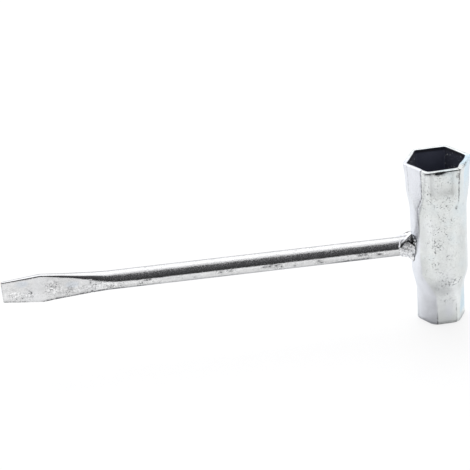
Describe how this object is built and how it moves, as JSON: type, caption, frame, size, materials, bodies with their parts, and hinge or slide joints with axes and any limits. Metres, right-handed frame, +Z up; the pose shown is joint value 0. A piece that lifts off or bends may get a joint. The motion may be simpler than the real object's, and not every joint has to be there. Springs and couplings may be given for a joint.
{
  "type": "chainsaw t-wrench",
  "caption": "Chainsaw T-wrench: a swaged steel tube with a hexagon socket in each end, and a round bar welded to its side and forged to a flat screwdriver blade.",
  "frame": {"origin": "on the plane of the nut socket's rim, under the middle of the tool's box", "axes": "+Z up the socket tube from the nut socket to the plug socket, -X along the bar to the blade's tip, +Y square to the blade's flats"},
  "size_m": [0.1802, 0.0236, 0.0665],
  "materials": {
    "tube_plating": "bright zinc plating over swaged tube, slightly mottled, with small pits",
    "bar_plating": "bright zinc plating over drawn bar, with forging marks on the blade",
    "weld_metal": "plated weld metal, lumpy and rough"
  },
  "bodies": {
    "root": {"socket_tube": "tube_plating", "handle_bar": "bar_plating", "weld_fillet": "weld_metal"}
  },
  "joints": []
}
